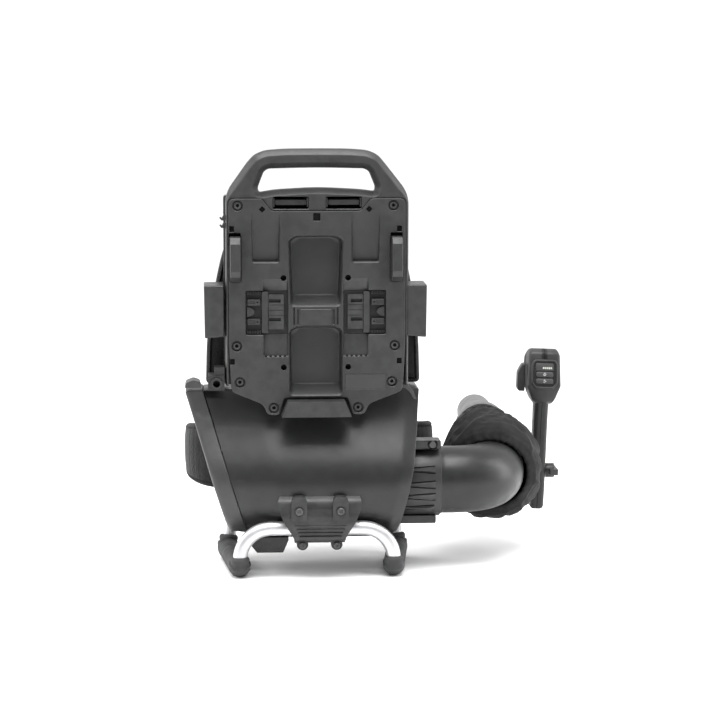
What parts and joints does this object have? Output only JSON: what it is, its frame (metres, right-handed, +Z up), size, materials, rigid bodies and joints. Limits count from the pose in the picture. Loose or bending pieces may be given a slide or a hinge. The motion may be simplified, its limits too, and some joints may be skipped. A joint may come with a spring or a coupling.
{
  "type": "backpack leaf blower",
  "caption": "Backpack leaf blower with battery tray, carrying handle, fan housing, swivel elbow, sleeved hose, nozzle tube, control handle, harness and tube stand.",
  "frame": {"origin": "on the floor, under the middle of the whole outline; the stand's boots rest on z = 0, the machine's own centre plane is at x = -0.099 and the battery face at y = -0.180", "axes": "+X towards the air outlet side, +Y from the battery side towards the wearer, +Z up"},
  "size_m": [0.5668, 0.4454, 0.6],
  "materials": {
    "tray_plastic": "fine moulded texture",
    "frame_plastic": "fine moulded texture",
    "bracket_plastic": "fine moulded texture",
    "housing_plastic": "satin moulded",
    "cover_plastic": "satin moulded",
    "grille_plastic": "matte",
    "duct_plastic": "smooth",
    "elbow_plastic": "satin gloss",
    "tube_plastic": "satin",
    "screw_steel": "black oxide",
    "steel": "machined",
    "copper_iron": "wound laminations",
    "stand_alu": "satin bright",
    "boot_rubber": "matte",
    "damper_rubber": "matte",
    "pad_fabric": "woven mesh over foam",
    "strap_fabric": "woven over foam",
    "webbing": "ribbed webbing",
    "sleeve_fabric": "thin woven",
    "hose_rubber": "flexible corrugated",
    "handle_plastic": "fine texture",
    "keypad": "smooth",
    "key_plastic": "matte",
    "plate_sticker": "thin blank plate"
  },
  "bodies": {
    "frame": {"battery_tray": "tray_plastic", "tray_screws": "screw_steel", "battery_hook_left": "bracket_plastic", "battery_hook_right": "bracket_plastic", "battery_rest": "tray_plastic", "rating_plate": "plate_sticker", "carry_frame": "frame_plastic", "strap_bar_left": "bracket_plastic", "strap_bar_right": "bracket_plastic", "side_bracket_left": "frame_plastic", "side_bracket_right": "frame_plastic", "power_inlet": "bracket_plastic", "fan_housing": "housing_plastic", "inlet_cover": "cover_plastic", "inlet_grille": "grille_plastic", "outlet_collar": "housing_plastic", "collar_screw": "screw_steel", "under_guard": "bracket_plastic", "fan_shroud": "duct_plastic", "guide_vanes": "duct_plastic", "motor_stator": "copper_iron", "bearing_front": "steel", "bearing_rear": "steel", "controller_box": "bracket_plastic", "back_plate": "frame_plastic", "vibration_dampers": "damper_rubber", "back_pad": "pad_fabric", "lumbar_pad": "pad_fabric", "shoulder_strap_left": "strap_fabric", "shoulder_strap_right": "strap_fabric", "strap_webbing_left": "webbing", "strap_webbing_right": "webbing", "stand_tube": "stand_alu", "foot_left": "boot_rubber", "foot_right": "boot_rubber", "stand_bracket": "bracket_plastic", "bracket_screws": "screw_steel"},
    "latch_left": {"latch_slide_left": "bracket_plastic"},
    "latch_right": {"latch_slide_right": "bracket_plastic"},
    "rotor": {"fan_wheel": "duct_plastic", "motor_rotor": "steel", "motor_shaft": "steel"},
    "hip_left": {"hip_pad_left": "pad_fabric"},
    "hip_right": {"hip_pad_right": "pad_fabric"},
    "elbow_arm": {"elbow": "elbow_plastic", "hose_bellows": "hose_rubber", "hose_sleeve": "sleeve_fabric"},
    "nozzle": {"blower_tube": "tube_plastic", "tube_bracket": "bracket_plastic", "handle_bolt": "steel"},
    "handle": {"handle_shell_left": "handle_plastic", "handle_shell_right": "handle_plastic", "keypad_panel": "keypad"},
    "throttle": {"trigger": "bracket_plastic"},
    "cruise": {"cruise_lever": "bracket_plastic"},
    "power_key": {"power_button": "key_plastic"},
    "boost_key": {"boost_button": "key_plastic"},
    "knob": {"clamp_knob": "bracket_plastic"}
  },
  "joints": [
    {"name": "fan_spin", "type": "hinge", "parent": "frame", "child": "rotor", "pos_m": [-0.099, -0.124, 0.125], "axis": [1, 0, 0], "continuous": true},
    {"name": "latch_left_slide", "type": "slide", "parent": "frame", "child": "latch_left", "axis": [1, 0, 0], "range_m": [0, 0.0035], "stiffness_N_per_m": 400},
    {"name": "latch_right_slide", "type": "slide", "parent": "frame", "child": "latch_right", "axis": [-1, 0, 0], "range_m": [0, 0.0035], "stiffness_N_per_m": 400},
    {"name": "hip_left_swing", "type": "hinge", "parent": "frame", "child": "hip_left", "pos_m": [-0.206, -0.01, 0.144], "axis": [0, 0, 1], "range_deg": [-8, 20]},
    {"name": "hip_right_swing", "type": "hinge", "parent": "frame", "child": "hip_right", "pos_m": [0.008, -0.01, 0.144], "axis": [0, 0, 1], "range_deg": [-20, 4]},
    {"name": "elbow_swivel", "type": "hinge", "parent": "frame", "child": "elbow_arm", "pos_m": [0.061, -0.124, 0.125], "axis": [1, 0, 0], "range_deg": [-9, 50]},
    {"name": "hose_bend", "type": "hinge", "parent": "elbow_arm", "child": "nozzle", "pos_m": [0.162, 0.002, 0.144], "axis": [0, 0, 1], "range_deg": [-20, 12], "deforming": ["hose_bellows", "hose_sleeve"]},
    {"name": "handle_tilt", "type": "hinge", "parent": "nozzle", "child": "handle", "pos_m": [0.241, 0.096, 0.1], "axis": [1, 0, 0], "range_deg": [-25, 25]},
    {"name": "knob_turn", "type": "hinge", "parent": "nozzle", "child": "knob", "pos_m": [0.271, 0.096, 0.1], "axis": [1, 0, 0], "continuous": true},
    {"name": "throttle_pull", "type": "hinge", "parent": "handle", "child": "throttle", "pos_m": [0.2528, 0.111, 0.21192], "axis": [0.9993, 0, -0.0384], "range_deg": [0, 12], "stiffness_Nm_per_rad": 0.35, "springref_deg": -5.73},
    {"name": "cruise_turn", "type": "hinge", "parent": "handle", "child": "cruise", "pos_m": [0.22359, 0.1, 0.23305], "axis": [0.9993, 0, -0.0384], "range_deg": [-55, 20]},
    {"name": "power_press", "type": "slide", "parent": "handle", "child": "power_key", "axis": [-0.0086, 0.9744, -0.2248], "range_m": [0, 0.0008], "stiffness_N_per_m": 900},
    {"name": "boost_press", "type": "slide", "parent": "handle", "child": "boost_key", "axis": [-0.0086, 0.9744, -0.2248], "range_m": [0, 0.0008], "stiffness_N_per_m": 900}
  ]
}
